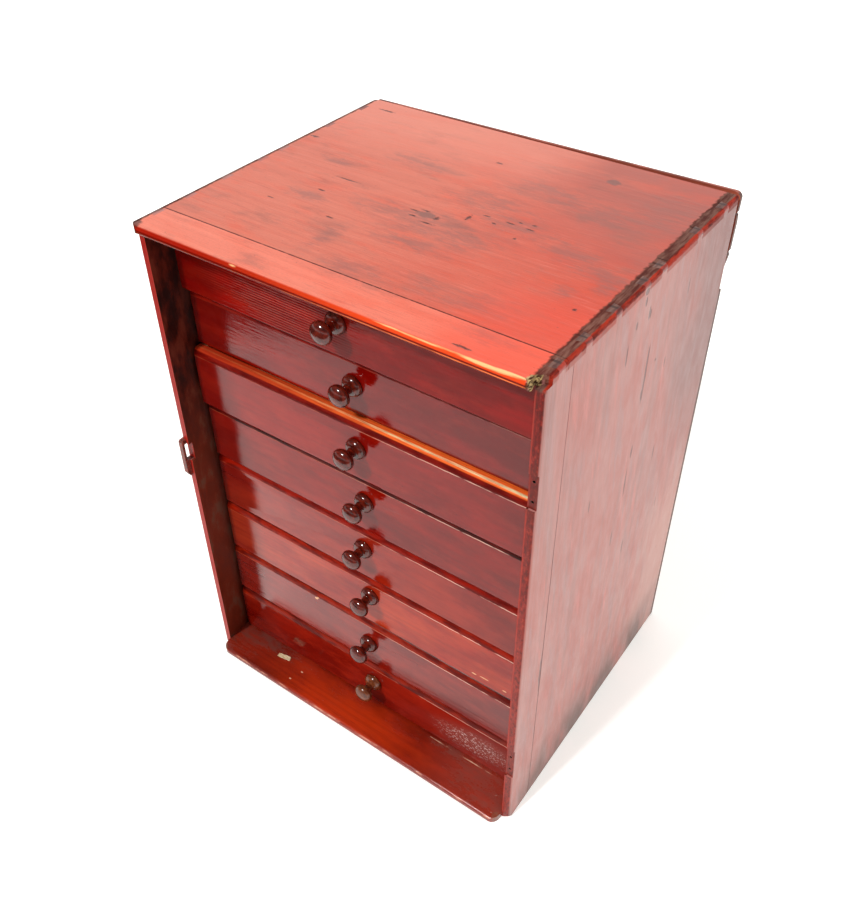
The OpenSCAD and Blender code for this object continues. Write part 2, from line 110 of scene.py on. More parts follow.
class Nodes:
    """Short ways to add and join the nodes of one tree."""

    def __init__(self, tree):
        self.tree = tree

    def feed(self, socket, value):
        """Links a socket to another one, or sets its plain value."""
        if isinstance(value, bpy.types.NodeSocket):
            self.tree.links.new(value, socket)
        elif value is not None:
            socket.default_value = (*value, 1) if socket.type == "RGBA" else value

    def node(self, kind, *values, **settings):
        node = self.tree.nodes.new(kind)
        for key, value in settings.items():
            setattr(node, key, value)
        for socket, value in zip(node.inputs, values):
            self.feed(socket, value)
        return node

    def math(self, operation, *values):
        return self.node("ShaderNodeMath", *values, operation=operation).outputs[0]

    def times(self, first, second):
        return self.math("MULTIPLY", first, second)

    def plus(self, value, other, factor):
        """value + factor * other, such as a place that a noise moves about."""
        return self.math("MULTIPLY_ADD", other, factor, value)

    def centred(self, noise):
        return self.math("SUBTRACT", noise, 0.5)

    def either(self, masks):
        total = masks[0]
        for mask in masks[1:]:
            total = self.math("MAXIMUM", total, mask)
        return total

    def step(self, value, low, high, start=0.0, end=1.0):
        """Goes smoothly from start to end while value goes from low to high."""
        return self.node(
            "ShaderNodeMapRange", value, low, high, start, end, interpolation_type="SMOOTHSTEP"
        ).outputs[0]

    def band(self, value, middle, outer, inner):
        """1 where value is within inner of the middle, and 0 beyond outer."""
        return self.step(self.math("ABSOLUTE", self.math("SUBTRACT", value, middle)), outer, inner)

    def vector(self, operation, first, second=None, third=None, scale=None):
        node = self.node("ShaderNodeVectorMath", first, second, third, operation=operation)
        if scale is not None:
            node.inputs["Scale"].default_value = scale
        return node.outputs["Value" if operation == "LENGTH" else "Vector"]


class Shader(Nodes):
    """A node material in the making. Places in it are millimetres in the frame's axes."""

    def __init__(self, name):
        self.material = bpy.data.materials.new(name)
        self.material.use_nodes = True
        super().__init__(self.material.node_tree)
        self.surface = self.tree.nodes["Principled BSDF"]
        coords = self.node("ShaderNodeTexCoord")
        self.place = self.vector("SCALE", coords.outputs["Object"], scale=MM)
        self.x, self.y, self.z = self.node("ShaderNodeSeparateXYZ", self.place).outputs
        self.facing = self.node("ShaderNodeSeparateXYZ", coords.outputs["Normal"]).outputs

    def blend(self, share, first, second):
        """Goes from the first colour to the second while share goes from 0 to 1."""
        node = self.node("ShaderNodeMix", share, data_type="RGBA")
        self.feed(node.inputs[6], first)
        self.feed(node.inputs[7], second)
        return node.outputs[2]

    def clouds(self, place, detail, rough):
        node = self.node("ShaderNodeTexNoise")
        self.feed(node.inputs["Vector"], place)
        for key, value in (("Scale", 1), ("Detail", detail), ("Roughness", rough)):
            node.inputs[key].default_value = value
        return node.outputs["Fac"]

    def noise(self, size, along=(1, 1, 1), seed=0.0, detail=3.0, rough=0.5):
        """Clouds from 0 to 1, about size across and stretched by the three factors of along."""
        factors = tuple(1 / (size * a) for a in along)
        place = self.vector("MULTIPLY_ADD", self.place, factors, (seed * 3.7, seed * 5.3, seed * 7.9))
        return self.clouds(place, detail, rough)

    def spot(self, centre, size, edge, ragged=0.35, soft=0.2):
        """1 inside an ellipsoid of the given half sizes, 0 outside, with an edge broken by a noise."""
        offset = self.vector("SUBTRACT", self.place, centre)
        far = self.vector("LENGTH", self.vector("DIVIDE", offset, size))
        return self.step(self.plus(far, self.centred(edge), 2 * ragged), 1 + soft, 1 - soft)

    def level_spots(self, marks, height, deep, edge, ragged, soft=0.2):
        """Spots in a level face, given as (x, y) and their half sizes."""
        return self.either([
            self.spot((x, y, height), (a, b, deep), edge, ragged, soft) for (x, y), (a, b) in marks
        ])

    def bump(self, height, depth_mm):
        node = self.node("ShaderNodeBump")
        node.inputs["Distance"].default_value = depth_mm / MM
        self.feed(node.inputs["Height"], height)
        return node.outputs["Normal"]

    def finish(self, colour, roughness, normal=None, coat=0.0, coat_roughness=0.1, ior=1.5, specular=0.5):
        inputs = self.surface.inputs
        self.feed(inputs["Base Color"], colour)
        self.feed(inputs["Roughness"], roughness)
        self.feed(inputs["Coat Weight"], coat)
        inputs["Coat Roughness"].default_value = coat_roughness
        inputs["IOR"].default_value = ior
        inputs["Specular IOR Level"].default_value = specular
        if normal is not None:
            self.feed(inputs["Normal"], normal)
            self.feed(inputs["Coat Normal"], normal)
        return self.material


class Pine:
    """The grain of one board: its growth rings, fibres and slow changes of tone."""

    # How much longer than wide the marks of the grain are, and how far it winds
    STRETCH = 22
    WINDING = 46.0

    def __init__(self, shader, grain, seed, heart, ring_w=5.0):
        self.shader = shader
        self.along = tuple(self.STRETCH if axis == grain else 1 for axis in "xyz")
        across = tuple(0.0 if axis == grain else 1.0 for axis in "xyz")
        self.seed = seed
        flat = shader.vector("MULTIPLY", shader.vector("SUBTRACT", shader.place, heart), across)
        radius = shader.plus(shader.vector("LENGTH", flat), self.noise(42, detail=2.0), self.WINDING)
        wave = shader.math("SINE", shader.times(radius, 2 * math.pi / ring_w))
        self.rings = shader.step(wave, -0.4, 1.0)
        self.fibre = self.noise(1.1, detail=4.0, rough=0.65)
        self.tone = self.noise(26, detail=3.0, stretch=0.25)

    def noise(self, size, detail=3.0, rough=0.5, stretch=1.0, seed=0.0):
        along = tuple(1 + (a - 1) * stretch for a in self.along)
        return self.shader.noise(size, along, self.seed + seed, detail, rough)


# Colours as linear red, green and blue
RED_DEEP = (0.42, 0.022, 0.006)
# Colours of the top from left to right, for the panel and then the front strip: bloom with a painted sheen,
# strongest on the left
BLOOM_SHEEN_LEFT = (0.67, 0.168, 0.104)
BLOOM_SHEEN_RIGHT = (0.61, 0.058, 0.026)
STRIP_LEFT = (0.84, 0.215, 0.135)
STRIP_RIGHT = (0.84, 0.110, 0.055)
CLEAR_ORANGE = (0.78, 0.085, 0.028)
DULL_MAUVE = (0.34, 0.118, 0.088)
# The nose of the top from left to right, brightening to the right as a painted highlight
NOSE_LEFT = (0.36, 0.010, 0.002)
NOSE_RIGHT = (0.84, 0.070, 0.014)
WORN_DARK = (0.060, 0.013, 0.009)
WORN_GREY = (0.19, 0.094, 0.068)
OLIVE_WOOD = (0.56, 0.39, 0.17)
TORN_DARK = (0.055, 0.020, 0.008)
# Colours of the outer face of a side, paled by bloom and by a painted sheen of the bright surroundings
SIDE_BLOOM_SHEEN = (0.53, 0.206, 0.176)
SIDE_RED = (0.51, 0.140, 0.110)
SIDE_LILAC = (0.46, 0.204, 0.188)
DARK_DIRT = (0.030, 0.012, 0.008)
KNOB_TONES = ((0.050, 0.004, 0.002), (0.170, 0.014, 0.005))
LAST_KNOB_TONES = ((0.08, 0.014, 0.004), (0.24, 0.060, 0.018))

# How far down from its edge a worn end of the top reaches on the outer face of a side
END_ARRIS = 3.6
# Marks across the worn right end of the top: y and half width
END_CUTS = ((-126, 1.2), (-93, 1.0), (-51, 1.2), (-9, 1.0), (16, 1.3), (24, 0.8), (80, 1.0), (128, 1.2))
# Cracks in the outer face of a side: (y, z) and their half sizes
SIDE_CRACKS = (
    ((11, 412), (1.5, 26)), ((0, 472), (1.2, 6)), ((-114, 184), (1.6, 24)), ((-20, 471), (1.6, 3)),
    ((-10, 494), (3.0, 2.5)), ((-9, 485), (1.6, 4)), ((2, 470), (1.2, 4)), ((72, 459), (0.9, 7)),
    ((27, 416), (1.3, 1.3)), ((10, 393), (1.6, 5)), ((9, 337), (1.3, 6)), ((24, 216), (1.0, 8)),
    ((120, 134), (1.4, 1.4)), ((-30, 452), (1.0, 9)), ((6, 305), (1.0, 14)), ((48, 402), (0.8, 5)),
    ((-60, 330), (0.8, 6)), ((60, 300), (0.8, 8)), ((-5, 250), (0.9, 9)), ((90, 220), (0.8, 6)),
)
# Smudges, knots and dents in the top: (x, y) and their half sizes
TOP_SMUDGES = (
    ((-119, 22), (12, 6)), ((-43, -88), (6, 20)), ((4, -112), (22, 8)), ((11, -57), (22, 9)),
    ((26, 30), (26, 11)), ((112, -5), (14, 12)), ((131, -7), (10, 9)), ((150, -20), (20, 7)),
    ((90, -99), (34, 10)), ((129, -128), (16, 6)), ((139, -54), (6, 8)), ((160, -35), (6, 7)),
    ((-20, -24), (30, 10)), ((60, 70), (34, 12)), ((120, 60), (30, 14)), ((-60, 60), (28, 9)),
    ((150, 90), (20, 30)), ((20, -30), (40, 16)), ((-100, -40), (16, 6)), ((60, 8), (30, 10)),
)
TOP_KNOTS = (((-2, -15.5), (8, 4.5)), ((89, 115), (6, 4.5)))
TOP_DENTS = (
    ((-151, 132), (7, 1.2)), ((-169, 50), (4, 1.4)), ((-89, -1.5), (9, 0.7)), ((-95, -28), (3, 0.8)),
    ((-13, -14), (4, 0.9)), ((-10, -22), (3, 1.0)), ((6, -26), (5, 1.0)), ((27, -1), (1.4, 3.5)),
    ((37, 9), (3, 0.8)), ((58, 9), (3, 0.9)), ((75, 16), (2, 0.8)), ((75, 8.5), (3, 0.8)),
    ((73, -9.5), (1.2, 1.2)), ((-5, 94), (3, 1)), ((155, -69), (1.3, 1.3)), ((119, -146), (6, 1.0)),
    ((-60, -60), (3, 0.8)), ((8, -16), (2, 2.5)), ((-6, -10), (3, 0.8)), ((48, 2), (2, 0.7)),
    ((64, 14), (2, 0.7)), ((-120, -60), (3, 0.6)),
)
# Painted glints of light along the nose of the top: x and y from the front, half sizes and how ragged
NOSE_PAINTED_GLINTS = (
    ((140, -6.1), (34, 0.9, 1.8), 1.1), ((162, -5.2), (12, 0.7, 1.6), 0.7),
    ((90, -6.4), (26, 0.5, 1.4), 1.2), ((-71, -6.8), (3.4, 0.6, 1.3), 0.7),
)
# Heights of the middles of the two hinge seats and of their screw holes
SEATS_Z = (408.5, 89)
SCREWS_Z = (399.5, 417.5, 80, 98)
# Dust, bare corners and small specks on the base: (x, y), and the half sizes of the dust
BASE_DUST = (
    ((-168, -134), (22, 18)), ((-140, -126), (40, 7)), ((158, -138), (34, 16)), ((120, -124), (40, 5)),
)
BASE_BARE = ((-171, -158), (171, -154))
BASE_SPECKS = ((-80, -136), (-85, -149))


def end_wear(s, edge, seed, colour, outer):
    """The ends of the top: rubbed grey on top, a red arris at the corner, and the side's colour below it."""
    near_top = s.step(s.z, TOP_Z - 11, TOP_Z - 8)
    inward = s.math("SUBTRACT", OUTER_X - 13.5, s.plus(s.x, edge, -5.0))
    on_right = s.step(inward, 0.8, -1.4)
    on_left = s.step(s.plus(s.x, edge, 3.0), 7.0 - OUTER_X, 5.0 - OUTER_X)
    rubbed = s.times(s.math("MAXIMUM", on_left, on_right), near_top)
    mottle = s.noise(4, (0.7, 5.0, 1), seed + 8, detail=5.0, rough=0.65)
    tone = s.blend(s.step(mottle, 0.36, 0.66), WORN_DARK, WORN_GREY)
    crossed = s.either([s.spot((OUTER_X - 5, y, TOP_Z), (9, w, 20), edge, 0.25) for y, w in END_CUTS])
    tone = s.blend(s.times(crossed, 0.85), tone, (0.022, 0.009, 0.007))
    tone = s.blend(s.times(s.band(inward, 0, 1.6, 0.3), 0.55), tone, DARK_DIRT)
    colour = s.blend(s.times(rubbed, 0.94), colour, tone)
    left_rim = s.times(s.step(s.x, 2.6 - OUTER_X, 1.4 - OUTER_X, 0, 0.8), near_top)
    colour = s.blend(left_rim, colour, DARK_DIRT)
    corner = s.step(s.plus(s.x, edge, 1.6), OUTER_X - 1.9, OUTER_X - 0.9)
    arris = s.blend(s.step(mottle, 0.35, 0.6), (0.12, 0.008, 0.004), (0.42, 0.030, 0.012))
    colour = s.blend(s.times(corner, near_top), colour, arris)
    outward = s.step(s.math("ABSOLUTE", s.facing[0]), 0.75, 0.95)
    low = s.step(s.plus(s.z, edge, 3.0), TOP_Z - END_ARRIS + 2.0, TOP_Z - END_ARRIS + 1.0)
    low = s.math("MAXIMUM", low, s.step(s.x, 0, -1))
    return s.blend(s.times(outward, low), colour, outer), rubbed


def side_outer(s, pine, seed):
    """Bloomed and streaked varnish of the outer face of a side, paled by a painted sheen, with its cracks.
    """
    lean = s.plus(s.y, s.z, 0.16)
    place = s.node("ShaderNodeCombineXYZ", s.x, lean, s.z).outputs[0]
    streaks = s.clouds(s.vector("MULTIPLY", place, (0.04, 0.085, 0.012)), 6, 0.62)
    cloud = s.noise(38, (1, 1, 2.2), seed + 4, detail=4.0)
    # Bloom with a painted sheen paling the red
    outer = s.blend(s.step(cloud, 0.32, 0.68), SIDE_RED, SIDE_BLOOM_SHEEN)
    outer = s.blend(s.step(streaks, 0.50, 0.66, 0, 0.75), outer, SIDE_LILAC)
    outer = s.blend(s.step(streaks, 0.44, 0.30, 0, 0.5), outer, (0.70, 0.20, 0.165))
    outer = s.blend(s.step(pine.fibre, 0.54, 0.70, 0, 0.35), outer, (0.34, 0.15, 0.14))
    edge = s.noise(3.5, (1, 1, 2.5), seed + 9, detail=3.0)
    crack = s.either([s.spot((OUTER_X, y, z), (30, a, b), edge, 0.5) for (y, z), (a, b) in SIDE_CRACKS])
    outer = s.blend(s.times(crack, 0.72), outer, (0.10, 0.035, 0.030))
    seam = s.times(s.band(s.y, SIDE_SEAM_Y, 0.9, 0.3), s.step(s.z, 440, 260, 0.1, 1.0))
    outer = s.blend(s.times(seam, s.step(edge, 0.38, 0.55, 0.2, 0.8)), outer, (0.13, 0.035, 0.028))
    grain = s.noise(2.2, (1, 1, 6), seed + 14, detail=5.0, rough=0.7)
    outer = s.blend(s.step(grain, 0.5, 0.75, 0, 0.35), outer, (0.36, 0.14, 0.125))
    broad = s.noise(9, (1, 1, 26), seed + 16, detail=3.0)
    outer = s.blend(s.step(broad, 0.50, 0.68, 0, 0.40), outer, (0.36, 0.155, 0.135))
    far = s.plus(s.y, s.centred(cloud), 110)
    upper_back = s.times(s.step(far, 20, 140), s.step(s.z, 180, 400, 0, 0.90))
    outer = s.blend(upper_back, outer, (0.265, 0.084, 0.072))
    lower_back = s.times(s.step(far, 30, 130), s.step(s.z, 280, 140, 0, 0.80))
    outer = s.blend(lower_back, outer, (0.66, 0.330, 0.275))
    low = s.times(s.step(s.z, 80, 8), s.step(cloud, 0.25, 0.6))
    return s.blend(low, outer, (0.19, 0.080, 0.062)), crack


def top_ground(s, pine, cloud, seed, bloom_sheen_left, bloom_sheen_right):
    """Bloom and painted sheen, redder to the right, with warm and hazy parts, grain and fine scratches."""
    # Bloom with a painted sheen, fading from the left to the right
    across = s.plus(s.x, s.centred(cloud), 260)
    colour = s.blend(s.step(across, -85, 240), bloom_sheen_left, bloom_sheen_right)
    warm = s.step(s.noise(15, (3.5, 1, 1), seed + 4, detail=5.0, rough=0.62), 0.48, 0.74, 0, 0.42)
    colour = s.blend(warm, colour, CLEAR_ORANGE)
    colour = s.blend(s.times(pine.rings, 0.10), colour, RED_DEEP)
    haze = s.step(s.noise(20, (2.6, 1, 1), seed + 5, detail=6.0, rough=0.65), 0.50, 0.74, 0, 0.55)
    colour = s.blend(haze, colour, DULL_MAUVE)
    colour = s.blend(s.step(pine.fibre, 0.53, 0.72, 0, 0.26), colour, (0.34, 0.075, 0.055))
    colour = s.blend(s.step(pine.fibre, 0.46, 0.30, 0, 0.18), colour, (0.95, 0.34, 0.26))
    mealy = s.noise(1.1, (1.4, 1, 1), seed + 16, detail=3.0, rough=0.7)
    colour = s.blend(s.step(mealy, 0.50, 0.68, 0, 0.16), colour, (0.30, 0.085, 0.060))
    scratchy = s.noise(0.75, (26, 1, 1), seed + 15, detail=6.0, rough=0.8)
    colour = s.blend(s.step(scratchy, 0.54, 0.70, 0, 0.24), colour, (0.30, 0.065, 0.045))
    return s.blend(s.step(scratchy, 0.46, 0.32, 0, 0.14), colour, (0.98, 0.36, 0.26)), haze


def top_marks(s, colour, cloud, edge, seed):
    """Smudges, the duller and redder parts, a painted sheen at the back, the joint of the boards, knots,
    dents and specks.
    """
    wisps = s.noise(9, (3.2, 1, 1), seed + 6, detail=8.0, rough=0.75)
    smudge = s.level_spots(TOP_SMUDGES, TOP_Z, 40, wisps, 2.2, 0.9)
    smudge = s.times(smudge, s.step(wisps, 0.62, 0.42, 0.25, 1.0))
    colour = s.blend(s.times(smudge, 0.55), colour, (0.27, 0.105, 0.088))
    dull = s.times(s.step(s.plus(s.x, s.y, 0.7), 40, 210), s.step(cloud, 0.35, 0.6, 0.4, 1.0))
    colour = s.blend(s.times(dull, s.step(s.y, -60, 40, 0, 0.62)), colour, (0.34, 0.120, 0.095))
    # Painted sheen, paler towards the back and on the left
    back_painted_sheen = s.times(s.step(s.y, 30, 130, 0, 0.40), s.step(s.x, 80, 10))
    colour = s.blend(back_painted_sheen, colour, (0.86, 0.300, 0.215))
    redder = s.times(s.step(s.x, 70, 130, 0, 0.40), s.step(s.y, -40, -90))
    colour = s.blend(redder, colour, (0.90, 0.075, 0.034))
    crevice = s.times(s.band(s.y, TOP_SEAM_Y, 0.9, 0.35), s.step(edge, 0.3, 0.5, 0.35, 0.9))
    colour = s.blend(crevice, colour, (0.10, 0.012, 0.007))
    knots = s.level_spots(TOP_KNOTS, TOP_Z, 40, edge, 0.5, 0.3)
    colour = s.blend(s.times(knots, 0.75), colour, (0.20, 0.095, 0.080))
    splits = s.noise(1.5, (2.6, 1, 1), seed + 18, detail=4.0, rough=0.7)
    dents = s.level_spots(TOP_DENTS, TOP_Z, 40, splits, 1.8, 0.5)
    colour = s.blend(s.times(dents, 0.85), colour, (0.08, 0.018, 0.012))
    specks = s.step(s.noise(1.6, (1.5, 1, 1), seed + 11, detail=1.0), 0.75, 0.79, 0, 0.5)
    return s.blend(specks, colour, (0.12, 0.03, 0.02)), dents


def top_nose(s, colour, seed):
    """The rounded nose, with painted shade under it and painted light along its edge and to the right."""
    nose = s.step(s.y, FRONT_Y - 5.0, FRONT_Y - 6.6)
    # Painted highlight, brightening the nose to the right
    colour = s.blend(nose, colour, s.blend(s.step(s.x, -130, 110), NOSE_LEFT, NOSE_RIGHT))
    # Painted shade on the underside of the nose
    below = s.step(s.z, TOP_Z - 2.6, TOP_Z - 3.4)
    colour = s.blend(s.times(nose, below), colour, (0.17, 0.003, 0.0005))
    dashes = s.noise(2.2, (12, 1, 1), seed + 12)
    # A painted line of light along the lower edge of the nose
    painted_edge_light = s.times(s.band(s.z, TOP_Z - 4.9, 0.75, 0.35), s.step(dashes, 0.38, 0.56, 0.25, 1.0))
    painted_edge_light = s.times(painted_edge_light, s.step(s.x, -90, 120, 0.12, 0.9))
    colour = s.blend(s.times(painted_edge_light, nose), colour, (1.0, 0.20, 0.045))
    # Painted glints of light on the nose
    painted_glints = s.either([
        s.spot((x, FRONT_Y + y, TOP_Z), half, dashes, ragged, 0.5) for (x, y), half, ragged in NOSE_PAINTED_GLINTS
    ])
    return s.blend(painted_glints, colour, (1.0, 0.56, 0.24)), nose


def top_material(name, seed, bloom_sheen_left, bloom_sheen_right):
    """Rubbed and bloomed varnish of the top with painted sheen, painted light and shade on its nose, worn
    ends and a torn corner.
    """
    s = Shader(name)
    pine = Pine(s, "x", seed, (0, 60, 300), ring_w=6.5)
    edge = s.noise(4, detail=3.0)
    cloud = s.noise(34, (2.4, 1, 1), seed + 3, detail=5.0, rough=0.6)
    colour, haze = top_ground(s, pine, cloud, seed, bloom_sheen_left, bloom_sheen_right)
    colour, dents = top_marks(s, colour, cloud, edge, seed)
    colour, nose = top_nose(s, colour, seed)
    outer = side_outer(s, pine, seed + 20)[0]
    colour, rubbed = end_wear(s, edge, seed, colour, outer)
    torn = s.spot((OUTER_X - 4, FRONT_Y - 2, TOP_Z - 4), (9, 6.5, 9), edge, 0.3, 0.1)
    splinters = s.step(s.noise(1.6, (1, 3.5, 1), seed + 13, detail=4.0, rough=0.6), 0.42, 0.60)
    colour = s.blend(torn, colour, s.blend(splinters, TORN_DARK, OLIVE_WOOD))
    corner_dirt = s.spot((2.0 - OUTER_X, FRONT_Y - 5, TOP_Z), (7, 8, 12), edge, 0.6)
    colour = s.blend(s.times(corner_dirt, 0.8), colour, WORN_DARK)
    relief = s.plus(s.plus(pine.fibre, pine.rings, 0.3), dents, -2.5)
    relief = s.plus(relief, rubbed, -0.6)
    roughness = s.step(s.plus(haze, rubbed, 0.6), 0, 0.8, 0.36, 0.60)
    roughness = s.times(roughness, s.step(nose, 0, 1, 1.0, 0.3))
    coat = s.step(s.math("MAXIMUM", nose, rubbed), 0, 1, 0.60, 0.0)
    return s.finish(colour, roughness, s.bump(relief, 0.14), coat=coat, coat_roughness=0.30, specular=0.1)


def side_inner(s, grime):
    """Dark and grimy inner face of a side, redder and greyer lower down, and near black further in as
    painted shade.
    """
    inner = s.blend(s.step(grime, 0.36, 0.68), (0.012, 0.001, 0.0005), (0.15, 0.014, 0.004))
    inner = s.blend(s.step(s.z, 380, 240, 0, 0.5), inner, (0.29, 0.042, 0.016))
    grey = s.times(s.step(grime, 0.52, 0.66), s.step(s.z, 380, 250, 0.15, 0.7))
    inner = s.blend(grey, inner, (0.15, 0.080, 0.050))
    # Painted shade, near black further into the case
    return s.blend(s.step(s.y, FRONT_Y + 16, FRONT_Y + 30, 0, 0.6), inner, (0.006, 0.001, 0.001))


def side_lip(s, pine, edge, away, seed):
    """Rubbed and scuffed front edge of a side, redder on the left, with a painted highlight along its inner
    arris.
    """
    lip = s.blend(s.step(s.z, 420, 180), (0.20, 0.005, 0.003), (0.28, 0.023, 0.014))
    lip = s.blend(s.step(pine.noise(5, detail=4.0, seed=3), 0.40, 0.70, 0, 0.7), lip, (0.18, 0.018, 0.011))
    scuffs = s.noise(1.7, (1, 1, 2.2), seed + 17, detail=4.0, rough=0.7)
    lip = s.blend(s.step(scuffs, 0.50, 0.62, 0, 0.75), lip, (0.075, 0.008, 0.005))
    lip = s.blend(s.step(scuffs, 0.47, 0.36, 0, 0.5), lip, (0.50, 0.055, 0.028))
    lip = s.blend(s.step(s.x, 0, -1, 0, 0.75), lip, (0.42, 0.010, 0.004))
    # Painted highlight along the inner arris of the edge
    rim_highlight = s.step(s.plus(away, edge, 1.0), INNER_X + 2.2, INNER_X + 1.0, 0, 0.6)
    return s.blend(rim_highlight, lip, (0.50, 0.035, 0.018))


def hinge_seats(s, colour, edge, at_front):
    """Dirt in the hinge seats, and the dark of their screw holes."""
    seats = s.either([s.spot((OUTER_X - 3.7, FRONT_Y, z), (7, 6, 23), edge, 0.35, 0.15) for z in SEATS_Z])
    colour = s.blend(s.times(s.times(seats, at_front), 0.4), colour, (0.11, 0.014, 0.008))
    places = [(OUTER_X - 3.75, FRONT_Y + 12, z) for z in SCREWS_Z]
    holes = s.either([s.spot(place, (1.9, 60, 1.9), edge, 0.0, 0.05) for place in places])
    holes = s.times(holes, s.step(s.y, FRONT_Y + 1.53, FRONT_Y + 1.65))
    return s.blend(holes, colour, (0.010, 0.003, 0.002))


def side_material(name, seed):
    """A side board: bloomed outer face, dark inner face and rubbed front edge."""
    s = Shader(name)
    pine = Pine(s, "z", seed, (0, 30, 0), ring_w=7.0)
    edge = s.noise(4, detail=3.0)
    outer, crack = side_outer(s, pine, seed)
    grime = s.noise(11, (1, 1, 2.6), seed + 6, detail=6.0, rough=0.68)
    away = s.math("ABSOLUTE", s.x)
    inside = s.times(s.step(away, INNER_X + 2.0, INNER_X + 1.0), s.step(s.z, TOP_Z - 7, TOP_Z - 8))
    colour = s.blend(inside, outer, side_inner(s, grime))
    at_front = s.step(s.facing[1], -0.6, -0.85)
    colour = s.blend(at_front, colour, side_lip(s, pine, edge, away, seed))
    colour = hinge_seats(s, colour, edge, at_front)
    colour = end_wear(s, edge, seed, colour, colour)[0]
    relief = s.plus(s.plus(pine.fibre, pine.rings, 0.3), crack, -2.0)
    roughness = s.step(grime, 0.3, 0.7, 0.34, 0.50)
    coat = s.step(s.math("MAXIMUM", at_front, inside), 0, 1, 0.25, 0.0)
    return s.finish(colour, roughness, s.bump(relief, 0.14), coat=coat, coat_roughness=0.28, ior=1.34)


def base_material(name, seed):
    """Glossy varnish of the ledge in front of the drawers, dusty at both ends, worn along its nose, with
    painted light on its middle and nose.
    """
    s = Shader(name)
    pine = Pine(s, "x", seed, (0, 30, -200), ring_w=6.0)
    edge = s.noise(4, detail=3.0)
    cloud = s.noise(30, (2.5, 1, 1), seed + 3, detail=5.0, rough=0.6)
    colour = s.blend(s.step(cloud, 0.3, 0.7), (0.15, 0.007, 0.002), (0.38, 0.020, 0.005))
    wisps = s.noise(15, (2.6, 1, 1), seed + 4, detail=5.0, rough=0.65)
    # Painted pool of light in the middle of the ledge
    painted_light = s.spot((-12, FRONT_Y - 1, BASE_T), (70, 22, 60), wisps, 1.0, 0.9)
    colour = s.blend(s.times(painted_light, 0.85), colour, (0.56, 0.038, 0.004))
    crumbs = s.noise(7, (2.2, 1, 1), seed + 8, detail=6.0, rough=0.72)
    dust = s.level_spots(BASE_DUST, BASE_T, 20, crumbs, 2.2, 0.9)
    dust = s.times(dust, s.step(crumbs, 0.62, 0.40, 0.3, 1.0))
    colour = s.blend(s.times(dust, 0.55), colour, (0.125, 0.060, 0.044))
    colour = s.blend(s.times(pine.rings, 0.2), colour, (0.16, 0.005, 0.002))
    colour = s.blend(s.step(pine.fibre, 0.56, 0.72, 0, 0.45), colour, (0.12, 0.006, 0.003))
    colour = s.blend(s.step(s.x, -50, -130, 0, 0.40), colour, (0.09, 0.012, 0.006))
    colour = s.blend(s.step(s.x, 60, 120, 0, 0.40), colour, (0.35, 0.052, 0.032))
    broken = s.noise(5, (3, 1, 1), seed + 7, detail=3.0)
    nose = s.step(s.plus(s.y, broken, 1.5), FRONT_Y - 10.6, FRONT_Y - 12.0)
    colour = s.blend(s.times(nose, 0.7), colour, (0.24, 0.030, 0.018))
    # Painted highlight along the upper edge of the nose
    rim_highlight = s.times(s.band(s.z, BASE_T - 1.2, 0.8, 0.3), s.step(broken, 0.42, 0.60))
    rim_highlight = s.times(rim_highlight, s.step(s.y, FRONT_Y - 11.0, FRONT_Y - 11.8))
    colour = s.blend(s.times(rim_highlight, 0.8), colour, (0.78, 0.34, 0.22))
    bare = s.either([s.spot((x, y, 5), (5, 4, 8), edge, 0.5) for x, y in BASE_BARE])
    colour = s.blend(s.times(bare, 0.45), colour, (0.20, 0.10, 0.055))
    specks = s.either([s.spot((x, y, BASE_T), (1.4, 0.8, 9), edge, 0.3) for x, y in BASE_SPECKS])
    scratch = s.spot((108, FRONT_Y + 26, BASE_T), (38, 0.6, 9), broken, 0.4)
    scratch = s.times(scratch, s.step(broken, 0.4, 0.55))
    colour = s.blend(s.math("MAXIMUM", specks, scratch), colour, (0.72, 0.42, 0.28))
    relief = s.plus(pine.fibre, pine.rings, 0.35)
    roughness = s.step(s.plus(wisps, dust, 0.4), 0.35, 1.0, 0.16, 0.50)
    return s.finish(colour, roughness, s.bump(relief, 0.10), coat=0.15, coat_roughness=0.14)


def back_material(name, seed):
    """Thin, dull varnish on the rough boards of the back."""
    s = Shader(name)
    pine = Pine(s, "x", seed, (0, 200, 250), ring_w=8.0)
    cloud = s.noise(50, (2.5, 1, 1), seed + 3, detail=5.0, rough=0.6)
    colour = s.blend(s.step(cloud, 0.3, 0.7), (0.30, 0.060, 0.030), (0.48, 0.105, 0.055))
    colour = s.blend(s.times(pine.rings, 0.3), colour, (0.16, 0.030, 0.016))
    colour = s.blend(s.step(pine.fibre, 0.55, 0.8, 0, 0.5), colour, (0.10, 0.030, 0.018))
    rubbed = s.noise(6, (4, 1, 1), seed + 5, detail=4.0)
    top_edge = s.blend(s.step(rubbed, 0.35, 0.62), (0.10, 0.030, 0.022), (0.42, 0.120, 0.085))
    colour = s.blend(s.step(s.facing[2], 0.3, 0.8, 0, 0.9), colour, top_edge)
    end = s.noise(5, seed=seed + 6, detail=4.0)
    end_tone = s.blend(end, (0.015, 0.005, 0.004), (0.11, 0.040, 0.028))
    colour = s.blend(s.step(s.facing[0], 0.4, 0.8, 0, 0.85), colour, end_tone)
    relief = s.plus(pine.fibre, pine.rings, 0.5)
    return s.finish(colour, 0.55, s.bump(relief, 0.2), coat=0.1, coat_roughness=0.4)


